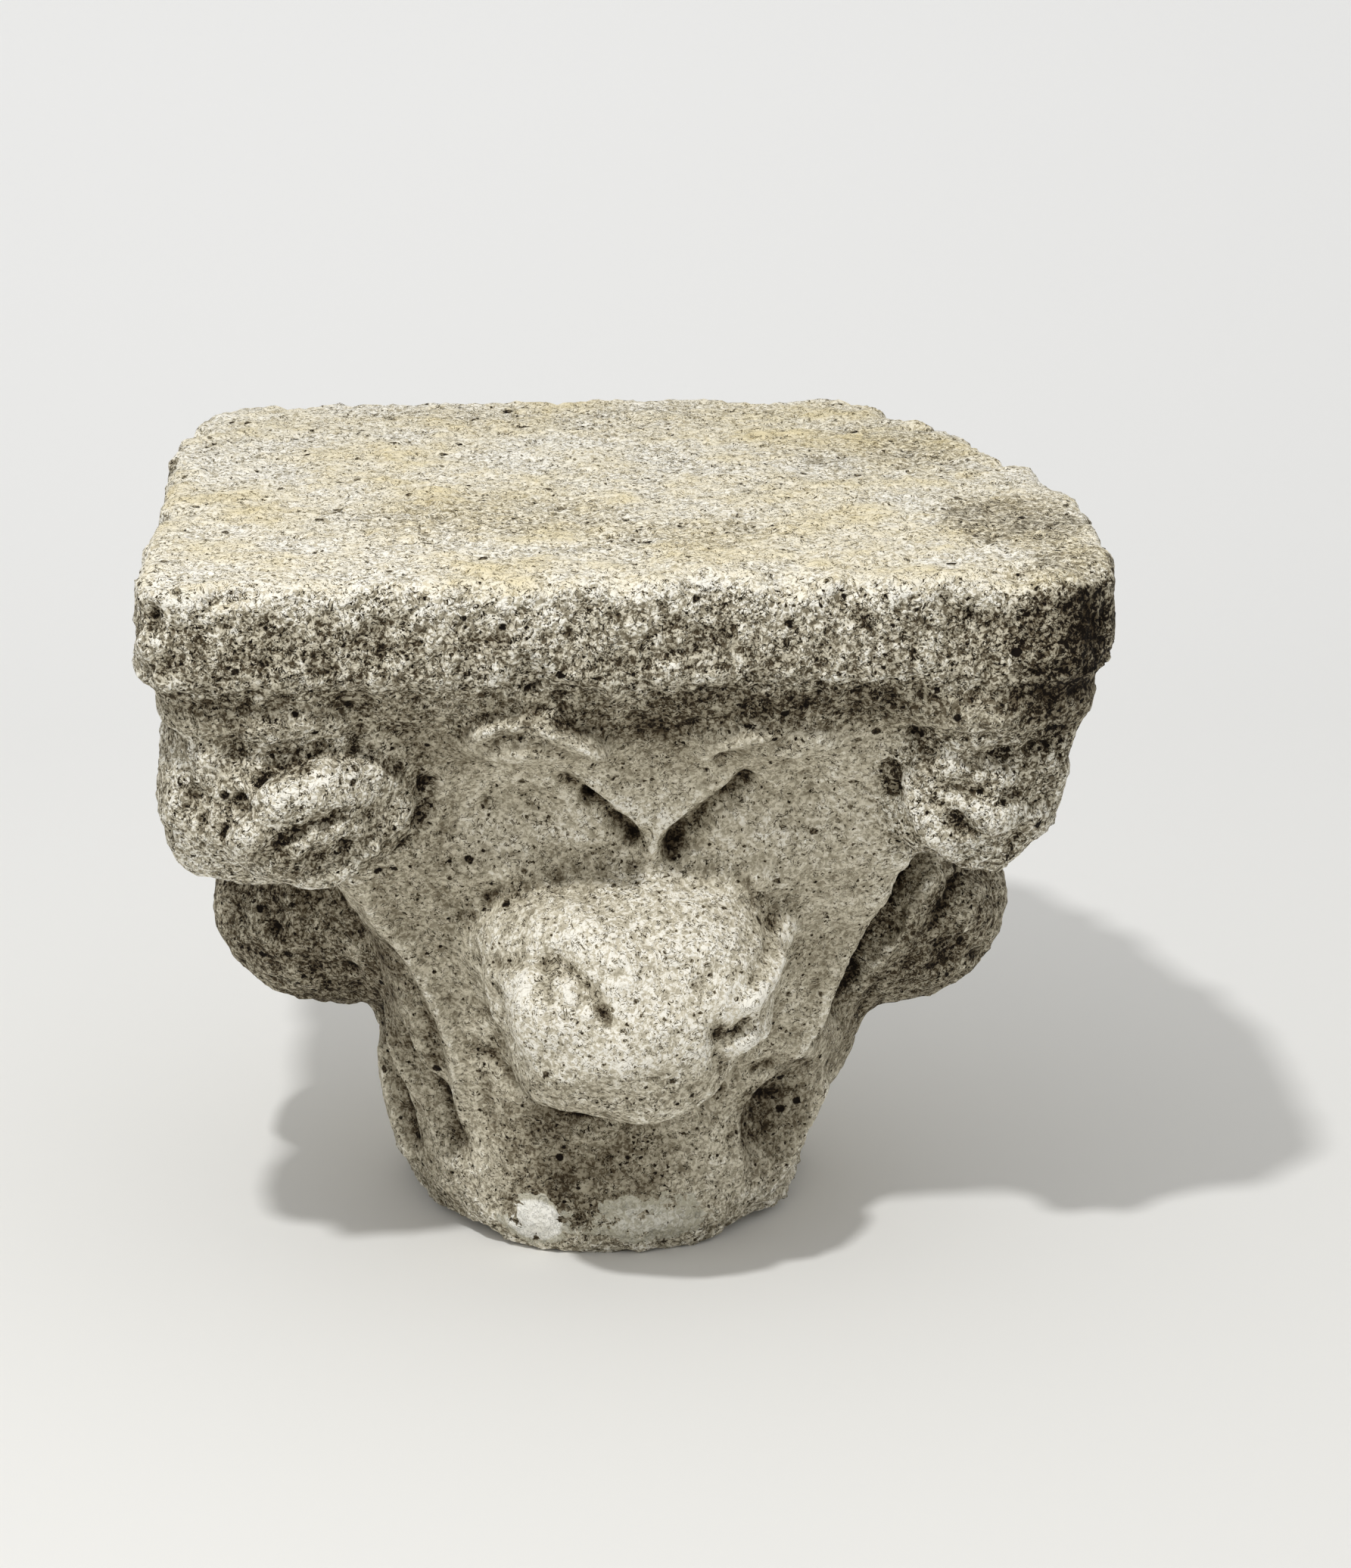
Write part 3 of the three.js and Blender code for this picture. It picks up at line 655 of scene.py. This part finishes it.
# Where the stone is made darker or paler than the rest: its place, its size and by how much. Most are its own
# stains and wear; the ones marked painted shade darken places that lie in shade.
STAINS = [
    ((6, -150, 124), (66, 50, 54), 0.19),     # the front leaf tip, washed clean
    # painted shade on the underside of the front leaf tip
    ((6, -140, 84), (60, 60, 22), -0.16),
    ((-112, -160, 196), (34, 30, 14), -0.10),  # the front left scroll's coil
    ((-112, -160, 224), (30, 30, 8), 0.02),
    ((172, -164, 272), (10, 20, 24), -0.2),
    ((-156, -140, 210), (22, 40, 40), 0.04),
    ((132, -150, 196), (32, 30, 22), 0.04),   # the front right scroll's rim
    ((180, -160, 276), (38, 44, 60), -0.34),  # brown streaks at the front right corner
    ((60, -110, 190), (66, 40, 60), 0.08),    # the leaf faces
    ((-40, -120, 206), (34, 40, 24), 0.05),
    # painted shade on the leaf face beside the left scroll and on the tongue between the leaves
    ((-70, -120, 232), (20, 50, 16), -0.10),
    ((-76, -100, 168), (26, 40, 40), -0.07),
    ((14, -130, 232), (22, 40, 16), -0.10),
    ((30, -170, 274), (150, 20, 9), -0.03),   # lichen along the abacus
    ((104, -170, 286), (22, 16, 9), -0.10),
    ((-126, -170, 272), (54, 16, 14), -0.12),
    ((0, -160, 250), (190, 40, 13), -0.12),   # painted shade under the abacus
    ((20, -150, 238), (60, 40, 12), -0.04),
    ((14, -140, 241), (14, 40, 8), -0.12),
    ((44, -150, 249), (30, 40, 6), -0.16),
    ((86, -150, 251), (24, 40, 8), -0.14),
    ((-128, -10, 122), (62, 90, 60), -0.28),  # painted shade on the side leaf tips
    ((124, -20, 122), (62, 76, 66), -0.20),
    ((-12, -92, 44), (40, 30, 30), -0.20),    # painted shade and dirt under the front leaf tip
    ((44, -88, 34), (34, 30, 26), 0.05),
    # painted shade in the pocket low on the right
    ((68, -66, 50), (22, 24, 28), -0.24),
    ((0, -168, 298), (186, 14, 9), 0.10),     # the worn front edge of the upper bed
    ((-78, -50, 60), (20, 40, 50), -0.10),
    ((146, -140, 300), (8, 9, 6), 0.8),
    ((-146, -112, 300), (46, 60, 12), 0.22),  # the upper bed, worn white at its left and middle
    ((-96, 30, 300), (60, 56, 12), 0.20),
    ((90, -130, 300), (50, 30, 12), 0.10),
    ((156, -76, 300), (30, 44, 12), -0.36),   # and stained brown along its right
    ((150, 60, 300), (40, 60, 12), -0.10),
    ((-50, -54, 300), (56, 40, 12), -0.20),
    ((30, -94, 300), (44, 30, 12), -0.18),
    ((112, 60, 300), (40, 50, 12), -0.16),
    ((0, 132, 300), (120, 26, 12), -0.14),
    ((89, -168, 299), (26, 6, 4), 0.2),
]
for centre, size, amount in STAINS:
    tone = tone + amount * inside(centre, size, 0.35)
# The carved cuts are painted darker and the carved rises paler, broken up by a mottle: painted shade in the
# grooves and painted highlight along the lips and ridges.
cuts, rises = Carving(block.data), Carving(block.data)
for face, width, height, stops in ALL_STROKES:
    (cuts if height < 0 else rises).ridge(face, stops, 0.9 * width + 0.8, abs(height) / 9)
mottle = spread(chance.normal(size=len(points)), edges(block.data), 7)[:, 0]
mottle = mottle / mottle.std()
tone = tone - 0.30 * np.clip(cuts.raised * (0.8 + 0.55 * mottle), 0, 1.3) + 0.13 * np.clip(rises.raised, 0, 1)
white_patch = inside((-33, -88, 15), (13, 20, 11), 0.7)
grey_patch = inside((13, -92, 17), (30, 18, 12), 0.6)
put_values(block.data, "tone", tone)
put_values(block.data, "ochre", upward)
put_values(block.data, "mortar", np.maximum(white_patch, 0.6 * grey_patch))
block.data.shade_smooth()
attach(block, "root")
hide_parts("capital")

# ---- The floor and the lights ----
# A seamless pale sheet that the stone stands on, one small bright lamp high on the left, and a white room.
SHEET_WIDTH = 12.0
SHEET_FRONT = -6.0
BEND_START = 0.7
BEND_RADIUS = 1.0
SHEET_TOP = 4.0
outline = [(SHEET_FRONT, 0.0)]
for degrees in range(0, 91, 5):
    turn = math.radians(degrees)
    outline.append((BEND_START + BEND_RADIUS * math.sin(turn), BEND_RADIUS * (1.0 - math.cos(turn))))
outline.append((BEND_START + BEND_RADIUS, SHEET_TOP))
corners = [(side * SHEET_WIDTH / 2, y, z) for y, z in outline for side in (-1, 1)]
strips = [(i, i + 1, i + 3, i + 2) for i in range(0, len(corners) - 2, 2)]
sheet_mesh = bpy.data.meshes.new("sheet")
sheet_mesh.from_pydata(corners, [], strips)
sheet_mesh.shade_smooth()
floor = new_object("sheet", sheet_mesh)


def paper_material():
    """White paper, a little paler towards the back, where less of the lamp's light reaches it."""
    material = bpy.data.materials.new("white paper")
    material.use_nodes = True
    tree = material.node_tree
    tree.nodes.clear()
    place = node(tree, "ShaderNodeTexCoord").outputs["Object"]
    depth = node(tree, "ShaderNodeSeparateXYZ", {0: place}).outputs["Y"]
    share = node(tree, "ShaderNodeMapRange", {"Value": depth, "From Min": -0.6, "From Max": 1.4})
    colour = node(tree, "ShaderNodeMix", {0: share, 6: linear("#e6e5e1"), 7: linear("#fdfdfc")},
                  data_type="RGBA").outputs[2]
    shader = node(tree, "ShaderNodeBsdfDiffuse", {"Color": colour})
    node(tree, "ShaderNodeOutputMaterial", {"Surface": shader})
    return material


sheet_mesh.materials.append(paper_material())

LAMP_WIDTH = 0.10
LAMP_POWER = 17.0
LAMP_PLACE = (-0.402, -0.922, 1.695)
LAMP_AIM = (0.0, 0.0, 0.15)
ROOM_LIGHT = 0.62
lamp_data = bpy.data.lights.new("lamp", "AREA")
lamp_data.shape = "DISK"
lamp_data.size = LAMP_WIDTH
lamp_data.energy = LAMP_POWER
lamp = bpy.data.objects.new("lamp", lamp_data)
lamp.location = LAMP_PLACE
lamp.rotation_euler = (Vector(LAMP_AIM) - lamp.location).to_track_quat("-Z", "Y").to_euler()
scene.collection.objects.link(lamp)

room = bpy.data.worlds.new("white room")
room.use_nodes = True
sky = room.node_tree.nodes["Background"].inputs
sky["Color"].default_value = linear("#ffffff")
sky["Strength"].default_value = ROOM_LIGHT
scene.world = room
